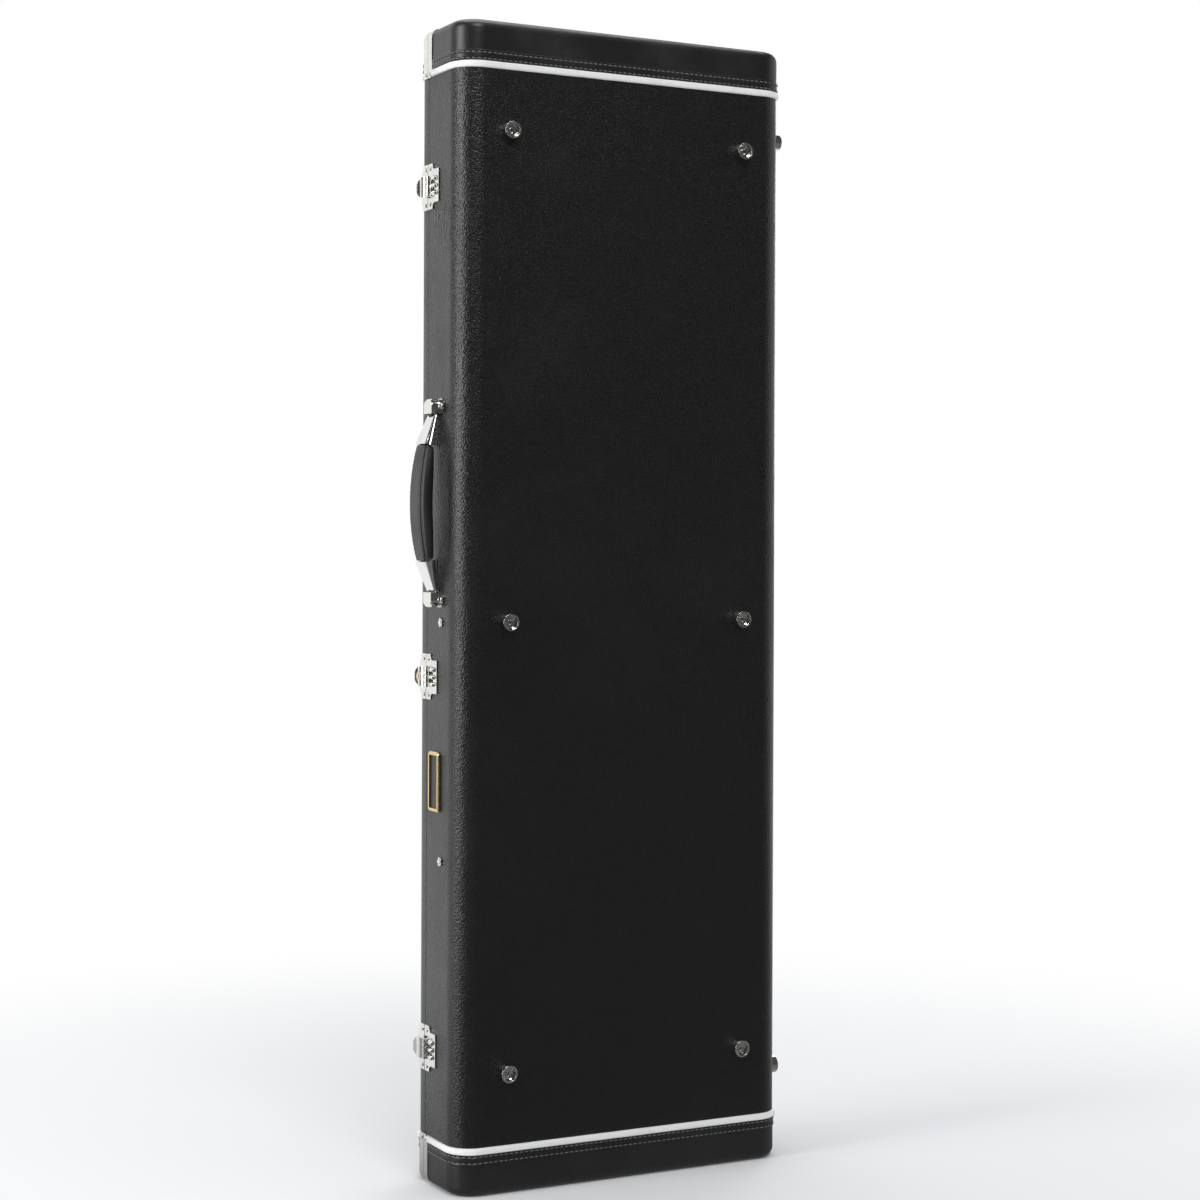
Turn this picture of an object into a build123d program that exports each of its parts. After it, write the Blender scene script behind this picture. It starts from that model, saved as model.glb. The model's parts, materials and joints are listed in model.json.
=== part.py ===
from build123d import *
import os

# A bass guitar case standing on its narrow end, closed, with its bottom panel facing -Y.
# X runs across the case from the latch side to the hinge side, Z along its length.
# The origin is the middle of the end face that it stands on.

# overall size of the closed case
case_length = 1220.0
case_width = 394.0
base_depth = 82.0
lid_depth = 35.0
seam_gap = 0.5
long_edge_radius = 28.0
end_edge_radius = 10.0

# wooden carcass and what covers it
skin_thickness = 1.8
vinyl_thickness = 1.2
ply_thickness = 6.0
end_thickness = 9.0
lining_thickness = 2.0

# sewn leather ends
cap_length = 44.0
hem_width = 11.0
hem_rise = 0.7
piping_width = 7.0
piping_rise = 2.4
piping_round = 2.3

# rim that locates the lid
valance_thickness = 3.0
valance_below_seam = 18.0
valance_above_seam = 7.0
lid_lining_start = 9.0

# padding for the instrument
cradle_top_below_seam = 20.0
cradle_length = 540.0
cradle_end_foam = 14.0
cushion_thickness = 5.0
neck_slot_width = 72.0
neck_slot_radius = 10.0
neck_rest_depth = 22.5
neck_pad_thickness = 3.0
board_thickness = 9.0
neck_rest_below_cradle = 73.7
neck_rest_spacing = 250.0
headstock_pad_length = 34.0
headstock_slot_half_width = 108.0
headstock_slot_depth = 18.0
lid_pad_thickness = 12.0
lid_pad_width = 300.0
lid_pad_corner = 30.0
lid_pad_bevel = 4.0

# body outline of the instrument: half widths against the distance from its end
body_outline = (
    (0, 0), (105, 14), (158, 72), (165, 128), (146, 195), (118, 258),
    (128, 335), (138, 388), (116, 424), (70, 398), (0, 380), (-70, 410), (-112, 478),
    (-140, 462), (-146, 390), (-122, 290), (-142, 205), (-165, 132), (-158, 72), (-105, 14),
)

# accessory compartment beside the neck
compartment_wall_thickness = 6.0
compartment_lid_thickness = 4.0
compartment_lid_reach = 58.0
compartment_axis_y = -16.0
compartment_axis_from_lining = 8.0
compartment_edge_gap = 2.0
compartment_end_gap = 0.6
compartment_barrel_radius = 2.4
compartment_leaf_width = 14.0
compartment_leaf_thickness = 1.0
compartment_pin_radius = 1.1
compartment_knuckles = 5
tab_width = 22.0
tab_glued = 14.0
tab_overhang = 4.0
tab_corner = 1.9
tab_thickness = 1.6

# lid hinges on the far narrow wall
hinge_length = 52.0
hinge_leaf_width = 13.0
hinge_rivet_edge = 3.2
hinge_rivet_from_middle = 17.0
hinge_leaf_thickness = 1.2
hinge_barrel_radius = 3.0
hinge_axis_rise = 3.2
hinge_pin_radius = 1.5
hinge_knuckles = 5
knuckle_gap = 0.4
pin_clearance = 0.05
leaf_clearance = 0.3

# hardware: along the case from the floor, its upper end or its middle, across it from the bottom panel
latch_from_top = 167.0
latch_below_middle = 74.5
latch_from_floor = 143.0
handle_above_middle = 108.5
handle_s = 59.0
nameplate_below_middle = 184.0
nameplate_s = 59.0
rosette_s = 45.0
panel_foot_from_top = 114.5
panel_foot_below_middle = 15.5
panel_foot_from_floor = 126.0
panel_foot_from_middle = 140.5
spine_foot_from_top = 95.0
spine_foot_from_floor = 96.0
spine_foot_s = 31.0

# latches: s is the depth from the bottom panel, p the height above the vinyl
plate_thickness = 1.2
plate_near_s = 54.5
plate_step_s = 70.0
plate_rim_gap = 0.6
plate_shoulder_height = 35.0
plate_full_height = 48.0
plate_step_radius = 5.0
striker_step_s = 95.0
striker_far_s = 98.0
striker_step_radius = 2.0
striker_lip_s = 88.7
striker_lip_width = 1.5
striker_lip_height = 14.0
striker_lip_top = 3.2
latch_rivet_from_middle = 19.0
latch_rivet_base_s = 76.0
latch_rivet_lid_s = 87.5
rib_pitch = 7.7
rib_length = 10.0
rib_width = 5.4
rib_height = 3.9
rib_middle_s = 64.5
rib_chamfer = 1.2
flap_axis_s = 74.0
flap_axis_p = 4.1
flap_barrel_radius = 2.6
flap_pin_radius = 1.1
flap_height = 21.0
flap_thickness = 1.4
flap_underside_p = 4.3
flap_dome_start_s = 79.5
flap_dome_middle_s = 85.5
flap_dome_end_s = 91.5
flap_dome_rise = 2.4
flap_tip_s = 96.0
flap_tip_p = 8.2
flap_tip_bow = 5.0
flap_bead_s = 78.1
flap_bead_radius = 0.9
flap_knuckles = 5
claw_s = 91.5
claw_width = 1.2
claw_height = 12.0
claw_clearance = 0.35

# key lock in the middle latch
lock_sleeve_radius = 5.2
lock_plug_radius = 4.0
lock_face_proud = 0.4
lock_sleeve_length = 4.3
lock_cam_reach = 5.2
lock_cam_width = 2.6
lock_cam_thickness = 0.6
keyway_length = 5.0
keyway_width = 1.3
keyway_depth = 2.0

# carrying handle: z runs from the handle's middle, p from the vinyl
grip_half_length = 60.0
grip_width = 34.0
grip_thickness = 15.0
grip_corner = 6.0
grip_middle_p = 18.5
grip_end_p = 11.5
ferrule_tip_z = 92.9
ferrule_tip_p = 4.0
ferrule_tip_width = 20.0
ferrule_tip_thickness = 5.0
ferrule_tip_corner = 2.2
ferrule_lip = 0.5
strap_width = 18.0
strap_thickness = 2.0
strap_end_z = 105.0
strap_bend_z = 93.0
strap_end_p = 3.4
strap_slot_length = 9.0
stud_z = 101.0
stud_radius = 2.0
stud_clearance = 0.4
hood_mouth_z = 93.6
hood_end_z = 109.0
hood_width = 24.0
hood_height = 10.5
hood_wall = 1.4
hood_round = 2.0
hood_end_radius = 7.0
ear_width = 41.0
ear_thickness = 1.5
ear_radius = 6.0
ear_screw_from_middle = 16.2

# corner guards that meet at the seam on the latch side
guard_thickness = 1.0
guard_length = 52.0
guard_floor_gap = 0.45
guard_base_width = 9.0
guard_lid_width = 12.0
guard_corner = 5.0
guard_rivet_z = 47.5
guard_rivet_from_seam = 4.8
guard_relief = 0.3
guard_relief_height = 4.8
guard_reach = 40.0

# fasteners and feet
rivet_head_radius = 2.5
rivet_head_height = 1.1
rivet_chamfer = 0.5
rivet_shank_radius = 1.4
rivet_grip = 6.0
foot_radius = 9.5
foot_rim_radius = 9.0
foot_dish_radius = 7.4
foot_dish_floor_radius = 6.2
foot_height = 9.0
foot_floor = 3.0
screw_head_radius = 3.2
screw_head_height = 1.8
screw_chamfer = 0.7
screw_shank_radius = 1.9
screw_hole_clearance = 0.1
rosette_petals = 5
rosette_petal_radius = 2.1
rosette_petal_circle = 2.9
rosette_core_radius = 2.6
rosette_thickness = 1.6
rosette_core_thickness = 2.2
nameplate_height = 63.0
nameplate_width = 27.0
nameplate_thickness = 3.0
nameplate_border = 3.6
nameplate_bevel = 1.2
nameplate_corner = 4.0
nameplate_inset_thickness = 1.4

# places that follow from the sizes above
latch_x = -case_width / 2
hinge_x = case_width / 2
front_y = -(base_depth + lid_depth) / 2
seam_y = front_y + base_depth
back_y = seam_y + lid_depth
base_rim_y = seam_y - seam_gap / 2
lid_rim_y = seam_y + seam_gap / 2
base_half = (base_rim_y, front_y)
lid_half = (lid_rim_y, back_y)
vinyl_drop = skin_thickness - vinyl_thickness
wall_inset = skin_thickness + ply_thickness
lining_inset = wall_inset + lining_thickness
cavity_low_z = skin_thickness + end_thickness
cavity_length = case_length - 2 * cavity_low_z
lined_low_z = cavity_low_z + lining_thickness
lined_length = cavity_length - 2 * lining_thickness
lined_high_z = lined_low_z + lined_length
field_low_z = cap_length + piping_width
field_length = case_length - 2 * field_low_z
floor_y = front_y + lining_inset
cradle_top_y = seam_y - cradle_top_below_seam
lined_x = case_width / 2 - lining_inset
cradle_low_z = lined_high_z - cradle_length
neck_rest_high_z = cradle_low_z - neck_rest_below_cradle
neck_rest_low_z = neck_rest_high_z - neck_rest_spacing
middle_z = case_length / 2
latch_heights = {
    "high": case_length - latch_from_top,
    "mid": middle_z - latch_below_middle,
    "low": latch_from_floor,
}
handle_z = middle_z + handle_above_middle
nameplate_z = middle_z - nameplate_below_middle
panel_foot_heights = (
    case_length - panel_foot_from_top,
    middle_z - panel_foot_below_middle,
    panel_foot_from_floor,
)
spine_foot_heights = (case_length - spine_foot_from_top, spine_foot_from_floor)


# one half's cross-section, grown outwards by outset, with its two long edges rounded
def half_section(half, outset, plane_z):
    rim_y, outer_y = half
    grown_y = outer_y + (outset if outer_y > rim_y else -outset)
    with BuildSketch(Plane.XY.offset(plane_z)) as section:
        with Locations((0, (rim_y + grown_y) / 2)):
            Rectangle(case_width + 2 * outset, abs(grown_y - rim_y))
        corners = section.vertices().filter_by(lambda corner: abs(corner.Y - grown_y) < seam_gap)
        fillet(corners, long_edge_radius + outset)
    return section.sketch


# the whole outer form of one half, its ends rounded except along the rim
def half_block(half, outset):
    rim_y = half[0]
    with BuildPart() as block:
        extrude(half_section(half, outset, -outset), amount=case_length + 2 * outset)
        end_edges = block.faces().filter_by(Axis.Z).edges()
        outer_edges = end_edges.filter_by(lambda edge: abs(edge.center().Y - rim_y) > seam_gap)
        fillet(outer_edges, end_edge_radius + outset)
    return block.part


# a plane on the latch side's vinyl at one height: x is the depth s, extruding goes outwards
def latch_face(height, rise=0.0):
    return Plane(origin=(latch_x + vinyl_drop - rise, front_y, height), x_dir=(0, 1, 0), z_dir=(-1, 0, 0))


# a plane across the latch side at one height: x is the depth s, y the height p above the vinyl
def latch_profile(height):
    return Plane(origin=(latch_x + vinyl_drop, front_y, height), x_dir=(0, 1, 0), z_dir=(0, 0, 1))


# a plane across a pin: x leads away from it along a leaf, y points off the leaf's surface
def pin_plane(axis_x, axis_y, low_z, length, away, off):
    pin_direction = Vector(*away).cross(Vector(*off))
    start_z = low_z if pin_direction.Z > 0 else low_z + length
    return Plane(origin=(axis_x, axis_y, start_z), x_dir=away, z_dir=pin_direction)


# knuckles share a pin's length: even ones are the fixed leaf's, odd ones the moving leaf's
def knuckle_spans(length, count, first):
    pitch = length / count
    spans = []
    for index in range(first, count, 2):
        start = index * pitch + (knuckle_gap / 2 if index > 0 else 0)
        end = (index + 1) * pitch - (knuckle_gap / 2 if index < count - 1 else 0)
        spans.append((start, end))
    return spans


# a hinge leaf drawn across its pin: x leads away from the pin, y points off the surface
def hinge_leaf(plane, length, width, thickness, barrel_radius, axis_rise, bore_radius, spans):
    plate_start = barrel_radius + leaf_clearance
    plate_y = thickness / 2 - axis_rise
    with BuildPart() as leaf:
        with BuildSketch(plane):
            with Locations(((plate_start + width) / 2, plate_y)):
                Rectangle(width - plate_start, thickness)
        extrude(amount=length)
        for start, end in spans:
            with BuildSketch(plane.offset(start)):
                Circle(barrel_radius)
                with Locations((plate_start / 2, plate_y)):
                    Rectangle(plate_start, thickness)
            extrude(amount=end - start)
        with BuildSketch(plane):
            Circle(bore_radius)
        extrude(amount=length, mode=Mode.SUBTRACT)
    return leaf.part


# upright holes for rivets through sheet metal that lies on a surface
def rivet_holes(plane, points, thickness):
    with BuildSketch(plane) as holes:
        with Locations(*points):
            Circle(rivet_shank_radius + screw_hole_clearance)
    extrude(holes.sketch, amount=thickness, mode=Mode.SUBTRACT)


# rivets with a low head, clenched in the wood behind the surface they stand on
def rivets(plane, points, buried):
    with BuildPart() as group:
        with BuildSketch(plane):
            with Locations(*points):
                Circle(rivet_head_radius)
        extrude(amount=rivet_head_height)
        tops = group.faces().group_by(Axis(plane.origin, plane.z_dir))[-1]
        chamfer(tops.edges(), rivet_chamfer)
        with BuildSketch(plane.offset(-buried)):
            with Locations(*points):
                Circle(rivet_shank_radius)
        extrude(amount=buried)
    return group.part


def write(piece, node):
    piece.part.label = node
    export_step(piece.part, f"parts/{node}.step")


os.makedirs("parts", exist_ok=True)

# outer forms of both halves, at the leather's surface and at the wood's
base_outer = half_block(base_half, 0)
base_wood = half_block(base_half, -skin_thickness)
lid_outer = half_block(lid_half, 0)
lid_wood = half_block(lid_half, -skin_thickness)


# the strip of one half beside the seam that the corner guards cover, above the leather
def guard_strip(half, outer, width, thickness):
    rim_y, outer_y = half
    away = 1 if outer_y > rim_y else -1
    with BuildPart() as strip:
        add(half_block(half, thickness))
        add(outer, mode=Mode.SUBTRACT)
        with Locations((latch_x, rim_y + away * width / 2, middle_z)):
            Box(guard_reach, width, case_length + guard_reach, mode=Mode.INTERSECT)
    return strip.part


base_relief_width = guard_base_width + guard_relief
base_relief = guard_strip(base_half, base_outer, base_relief_width, guard_relief_height)
lid_relief_width = guard_lid_width + guard_relief
lid_relief = guard_strip(lid_half, lid_outer, lid_relief_width, guard_relief_height)


# wooden carcass: a deep or shallow tray with moulded long edges
def carcass(half, wood):
    with BuildPart() as tray:
        add(wood)
        extrude(half_section(half, -wall_inset, cavity_low_z), amount=cavity_length, mode=Mode.SUBTRACT)
    return tray


# vinyl over the middle of one half, between the two rows of piping
def vinyl_cover(half):
    with BuildPart() as cover:
        extrude(half_section(half, -vinyl_drop, field_low_z), amount=field_length)
        extrude(half_section(half, -skin_thickness, field_low_z), amount=field_length, mode=Mode.SUBTRACT)
    return cover


# sewn leather end with a folded hem beside the piping
def leather_cap(half, outer, wood, relief, at_top):
    hem_low_z = case_length - cap_length if at_top else cap_length - hem_width
    cut = Plane.XY.offset(case_length - cap_length if at_top else cap_length)
    with BuildPart() as cap:
        add(outer)
        split(bisect_by=cut, keep=Keep.TOP if at_top else Keep.BOTTOM)
        extrude(half_section(half, hem_rise, hem_low_z), amount=hem_width)
        add(wood, mode=Mode.SUBTRACT)
        add(relief, mode=Mode.SUBTRACT)
    return cap


# round white piping along both joints between leather and vinyl
def piping(half, relief):
    rim_y = half[0]
    with BuildPart() as bands:
        for low_z in (cap_length, case_length - cap_length - piping_width):
            extrude(half_section(half, piping_rise, low_z), amount=piping_width)
        end_edges = bands.faces().filter_by(Axis.Z).edges()
        outer_edges = end_edges.filter_by(lambda edge: abs(edge.center().Y - rim_y) > seam_gap)
        fillet(outer_edges, piping_round)
        extrude(half_section(half, -skin_thickness, 0), amount=case_length, mode=Mode.SUBTRACT)
        add(relief, mode=Mode.SUBTRACT)
    return bands


base_shell = carcass(base_half, base_wood)
write(base_shell, "base_shell")
lid_shell = carcass(lid_half, lid_wood)
write(lid_shell, "lid_shell")
base_cover = vinyl_cover(base_half)
write(base_cover, "base_cover")
lid_cover = vinyl_cover(lid_half)
write(lid_cover, "lid_cover")
base_piping = piping(base_half, base_relief)
write(base_piping, "base_piping")
lid_piping = piping(lid_half, lid_relief)
write(lid_piping, "lid_piping")
base_cap_low = leather_cap(base_half, base_outer, base_wood, base_relief, False)
write(base_cap_low, "base_cap_low")
base_cap_high = leather_cap(base_half, base_outer, base_wood, base_relief, True)
write(base_cap_high, "base_cap_high")
lid_cap_low = leather_cap(lid_half, lid_outer, lid_wood, lid_relief, False)
write(lid_cap_low, "lid_cap_low")
lid_cap_high = leather_cap(lid_half, lid_outer, lid_wood, lid_relief, True)
write(lid_cap_high, "lid_cap_high")

# plush lining of both halves: the lid's stops above the valance
with BuildPart() as base_lining:
    extrude(half_section(base_half, -wall_inset, cavity_low_z), amount=cavity_length)
    extrude(half_section(base_half, -lining_inset, lined_low_z), amount=lined_length, mode=Mode.SUBTRACT)
write(base_lining, "base_lining")

with BuildPart() as lid_lining:
    extrude(half_section(lid_half, -wall_inset, cavity_low_z), amount=cavity_length)
    extrude(half_section(lid_half, -lining_inset, lined_low_z), amount=lined_length, mode=Mode.SUBTRACT)
    split(bisect_by=Plane.XZ.offset(-seam_y - lid_lining_start), keep=Keep.BOTTOM)
write(lid_lining, "lid_lining")

# valance: a covered frame inside the base that stands up into the lid
with BuildPart() as base_valance:
    with BuildSketch(Plane.XZ.offset(-seam_y - valance_above_seam)):
        with Locations((0, middle_z)):
            Rectangle(2 * lined_x, lined_length)
            Rectangle(
                2 * (lined_x - valance_thickness), lined_length - 2 * valance_thickness, mode=Mode.SUBTRACT
            )
    extrude(amount=valance_above_seam + valance_below_seam)
write(base_valance, "base_valance")


# outline of the instrument's body, drawn on the plane at one depth
def body_sketch(plane_y, slot_end_z):
    end_z = lined_high_z - cradle_end_foam
    with BuildSketch(Plane.XZ.offset(-plane_y)) as outline:
        with BuildLine():
            Spline(*[(x, end_z - distance) for x, distance in body_outline], periodic=True)
        make_face()
        with Locations((0, (end_z - cradle_length / 2 + slot_end_z) / 2)):
            Rectangle(neck_slot_width, end_z - cradle_length / 2 - slot_end_z)
    return outline.sketch


with BuildPart() as body_cradle:
    extrude(half_section(base_half, -lining_inset, cradle_low_z), amount=cradle_length)
    split(bisect_by=Plane.XZ.offset(-cradle_top_y), keep=Keep.TOP)
    extrude(body_sketch(cradle_top_y, cradle_low_z), amount=cradle_top_y - floor_y, mode=Mode.SUBTRACT)
write(body_cradle, "body_cradle")

with BuildPart() as body_cushion:
    extrude(body_sketch(floor_y + cushion_thickness, cradle_low_z), amount=cushion_thickness)
write(body_cushion, "body_cushion")


# a board across the base with a padded notch for the neck
def neck_notch(plane_z, width, depth, radius):
    with BuildSketch(Plane.XY.offset(plane_z)) as notch:
        with Locations((0, cradle_top_y)):
            Rectangle(width, 2 * depth)
        fillet(notch.vertices(), radius)
    return notch.sketch


def neck_rest(board_z):
    low_z = board_z - board_thickness / 2
    with BuildPart() as board:
        extrude(half_section(base_half, -lining_inset, low_z), amount=board_thickness)
        split(bisect_by=Plane.XZ.offset(-cradle_top_y), keep=Keep.TOP)
        notch = neck_notch(low_z, neck_slot_width, neck_rest_depth, neck_slot_radius)
        extrude(notch, amount=board_thickness, mode=Mode.SUBTRACT)
    return board


neck_rest_low = neck_rest(neck_rest_low_z)
write(neck_rest_low, "neck_rest_low")
neck_rest_high = neck_rest(neck_rest_high_z)
write(neck_rest_high, "neck_rest_high")

with BuildPart() as neck_pads:
    for board_z in (neck_rest_low_z, neck_rest_high_z):
        low_z = board_z - board_thickness / 2
        notch = neck_notch(low_z, neck_slot_width, neck_rest_depth, neck_slot_radius)
        extrude(notch, amount=board_thickness)
        pad_opening = neck_notch(
            low_z,
            neck_slot_width - 2 * neck_pad_thickness,
            neck_rest_depth - neck_pad_thickness,
            neck_slot_radius - neck_pad_thickness,
        )
        extrude(pad_opening, amount=board_thickness, mode=Mode.SUBTRACT)
    split(bisect_by=Plane.XZ.offset(-cradle_top_y), keep=Keep.TOP)
write(neck_pads, "neck_pads")

# pad behind the headstock, hollowed to take its tip
with BuildPart() as headstock_pad:
    extrude(half_section(base_half, -lining_inset, lined_low_z), amount=headstock_pad_length)
    split(bisect_by=Plane.XZ.offset(-cradle_top_y), keep=Keep.TOP)
    with BuildSketch(Plane.XZ.offset(-cradle_top_y)):
        with Locations((0, lined_low_z + headstock_pad_length)):
            Ellipse(headstock_slot_half_width, headstock_slot_depth)
    extrude(amount=cradle_top_y - floor_y, mode=Mode.SUBTRACT)
write(headstock_pad, "headstock_pad")

# soft pad in the lid over the instrument's body
with BuildPart() as lid_pad:
    with BuildSketch(Plane.XZ.offset(lining_inset - back_y)):
        with Locations((0, lined_high_z - cradle_length / 2)):
            RectangleRounded(lid_pad_width, cradle_length - 2 * cradle_end_foam, lid_pad_corner)
    extrude(amount=lid_pad_thickness)
    chamfer(lid_pad.faces().sort_by(Axis.Y)[0].edges(), lid_pad_bevel)
write(lid_pad, "lid_pad")

# accessory compartment between the neck rests, its lid hinged beside the case's wall
compartment_low_z = neck_rest_low_z + board_thickness / 2
compartment_length = neck_rest_high_z - neck_rest_low_z - board_thickness
compartment_axis_x = lined_x - compartment_axis_from_lining
compartment_lid_top_y = compartment_axis_y - compartment_barrel_radius - leaf_clearance
compartment_lid_low_y = compartment_lid_top_y - compartment_lid_thickness
compartment_lid_far_x = compartment_axis_x - compartment_edge_gap
compartment_lid_near_x = compartment_axis_x - compartment_lid_reach
lid_board_low_z = compartment_low_z + compartment_end_gap
lid_board_length = compartment_length - 2 * compartment_end_gap
compartment_middle_z = compartment_low_z + compartment_length / 2

with BuildPart() as compartment_wall:
    with BuildSketch(Plane.XY.offset(compartment_low_z)):
        with Locations((compartment_lid_near_x, floor_y)):
            Rectangle(
                compartment_wall_thickness, compartment_lid_low_y - floor_y, align=(Align.MIN, Align.MIN)
            )
    extrude(amount=compartment_length)
write(compartment_wall, "compartment_wall")

with BuildPart() as compartment_batten:
    extrude(half_section(base_half, -lining_inset, compartment_low_z), amount=compartment_length)
    split(bisect_by=Plane.XZ.offset(-compartment_lid_top_y), keep=Keep.TOP)
    split(bisect_by=Plane.YZ.offset(compartment_axis_x + compartment_edge_gap), keep=Keep.TOP)
write(compartment_batten, "compartment_batten")

with BuildPart() as compartment_lid:
    with BuildSketch(Plane.XY.offset(lid_board_low_z)):
        with Locations((compartment_lid_near_x, compartment_lid_low_y)):
            Rectangle(
                compartment_lid_far_x - compartment_lid_near_x,
                compartment_lid_thickness,
                align=(Align.MIN, Align.MIN),
            )
    extrude(amount=lid_board_length)
write(compartment_lid, "compartment_lid")

compartment_axis_rise = compartment_axis_y - compartment_lid_top_y
compartment_bore = compartment_pin_radius + pin_clearance


# the compartment's hinge leaf that leads one way from the pin
def compartment_leaf(away, width, first):
    axis_x, axis_y = compartment_axis_x, compartment_axis_y
    return hinge_leaf(
        pin_plane(axis_x, axis_y, lid_board_low_z, lid_board_length, away, (0, 1, 0)),
        lid_board_length,
        width,
        compartment_leaf_thickness,
        compartment_barrel_radius,
        compartment_axis_rise,
        compartment_bore,
        knuckle_spans(lid_board_length, compartment_knuckles, first),
    )


with BuildPart() as compartment_hinge_fixed:
    add(compartment_leaf((1, 0, 0), compartment_axis_from_lining, 0))
write(compartment_hinge_fixed, "compartment_hinge_fixed")

with BuildPart() as compartment_hinge_moving:
    add(compartment_leaf((-1, 0, 0), compartment_leaf_width, 1))
write(compartment_hinge_moving, "compartment_hinge_moving")

with BuildPart() as compartment_hinge_pin:
    with BuildSketch(Plane(origin=(compartment_axis_x, compartment_axis_y, lid_board_low_z))):
        Circle(compartment_pin_radius)
    extrude(amount=lid_board_length)
write(compartment_hinge_pin, "compartment_hinge_pin")

# leather pull tab glued along the compartment lid's free edge
with BuildPart() as compartment_tab:
    with BuildSketch(Plane.XZ.offset(-compartment_lid_top_y - tab_thickness)):
        with Locations((compartment_lid_near_x + (tab_glued - tab_overhang) / 2, compartment_middle_z)):
            RectangleRounded(tab_glued + tab_overhang, tab_width, tab_corner)
    extrude(amount=tab_thickness)
write(compartment_tab, "compartment_tab")

# lid hinges: leaves on the vinyl of both halves, barrels outside the seam
hinge_axis_x = hinge_x - vinyl_drop + hinge_axis_rise
hinge_bore = hinge_pin_radius + pin_clearance
hinge_face = Plane(origin=(hinge_x - vinyl_drop, seam_y, 0), x_dir=(0, 1, 0), z_dir=(1, 0, 0))
hinge_rivet_reach = hinge_leaf_width - hinge_rivet_edge
hinge_rivet_heights = [
    height + sign * hinge_rivet_from_middle for height in latch_heights.values() for sign in (-1, 1)
]


def hinge_leaves(away, first):
    with BuildPart() as leaves:
        for height in latch_heights.values():
            low_z = height - hinge_length / 2
            add(
                hinge_leaf(
                    pin_plane(hinge_axis_x, seam_y, low_z, hinge_length, away, (1, 0, 0)),
                    hinge_length,
                    hinge_leaf_width,
                    hinge_leaf_thickness,
                    hinge_barrel_radius,
                    hinge_axis_rise,
                    hinge_bore,
                    knuckle_spans(hinge_length, hinge_knuckles, first),
                )
            )
        points = [(away[1] * hinge_rivet_reach, height) for height in hinge_rivet_heights]
        rivet_holes(hinge_face, points, hinge_leaf_thickness)
    return leaves


base_hinge_leaves = hinge_leaves((0, -1, 0), 0)
write(base_hinge_leaves, "base_hinge_leaves")
lid_hinge_leaves = hinge_leaves((0, 1, 0), 1)
write(lid_hinge_leaves, "lid_hinge_leaves")

with BuildPart() as hinge_pins:
    for height in latch_heights.values():
        with BuildSketch(Plane(origin=(hinge_axis_x, seam_y, height - hinge_length / 2))):
            Circle(hinge_pin_radius)
        extrude(amount=hinge_length)
write(hinge_pins, "hinge_pins")

# latches: a plate with three ribs and a hinge on the base, a striker on the lid, a domed flap across
plate_far_s = base_depth - plate_rim_gap
striker_near_s = base_depth + plate_rim_gap
flap_half = flap_height / 2
flap_bore = flap_pin_radius + pin_clearance
flap_spans = knuckle_spans(flap_height, flap_knuckles, 1)
plate_spans = knuckle_spans(flap_height, flap_knuckles, 0)
claw_low_p = striker_lip_top + claw_clearance


# a plate whose middle stands taller than its shoulders, with hollow corners between
def stepped_plate(plane, near_s, step_s, far_s, step_radius):
    with BuildSketch(plane) as outline:
        with Locations(((near_s + far_s) / 2, 0)):
            Rectangle(abs(far_s - near_s), plate_shoulder_height)
        with Locations(((step_s + far_s) / 2, 0)):
            Rectangle(abs(far_s - step_s), plate_full_height)
        hollows = outline.vertices().filter_by(lambda corner: abs(corner.X - step_s) < pin_clearance)
        hollows = hollows.filter_by(lambda corner: abs(corner.Y) < plate_full_height / 2 - pin_clearance)
        fillet(hollows, step_radius)
    return outline.sketch


def latch_plate(height):
    face = latch_face(height)
    profile = latch_profile(height).offset(-flap_half)
    with BuildPart() as plate:
        outline = stepped_plate(face, plate_near_s, plate_step_s, plate_far_s, plate_step_radius)
        extrude(outline, plate_thickness)
        with BuildSketch(face):
            with Locations(*[(rib_middle_s, index * rib_pitch) for index in (-1, 0, 1)]):
                SlotOverall(rib_length, rib_width)
        extrude(amount=rib_height)
        chamfer(plate.faces().sort_by(Axis.X)[:3].edges(), rib_chamfer)
        for start, end in plate_spans:
            with BuildSketch(profile.offset(start)):
                with Locations((flap_axis_s, flap_axis_p)):
                    Circle(flap_barrel_radius)
                with Locations((flap_axis_s, flap_axis_p / 2)):
                    Rectangle(flap_barrel_radius, flap_axis_p)
            extrude(amount=end - start)
        with BuildSketch(profile):
            with Locations((flap_axis_s, flap_axis_p)):
                Circle(flap_bore)
        extrude(amount=flap_height, mode=Mode.SUBTRACT)
        points = [(latch_rivet_base_s, sign * latch_rivet_from_middle) for sign in (-1, 1)]
        rivet_holes(face, points, plate_thickness)
    return plate


def latch_striker(height):
    face = latch_face(height)
    with BuildPart() as striker:
        outline = stepped_plate(face, striker_far_s, striker_step_s, striker_near_s, striker_step_radius)
        extrude(outline, plate_thickness)
        with BuildSketch(face):
            with Locations((striker_lip_s, 0)):
                Rectangle(striker_lip_width, striker_lip_height)
        extrude(amount=striker_lip_top)
        points = [(latch_rivet_lid_s, sign * latch_rivet_from_middle) for sign in (-1, 1)]
        rivet_holes(face, points, plate_thickness)
    return striker


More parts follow.
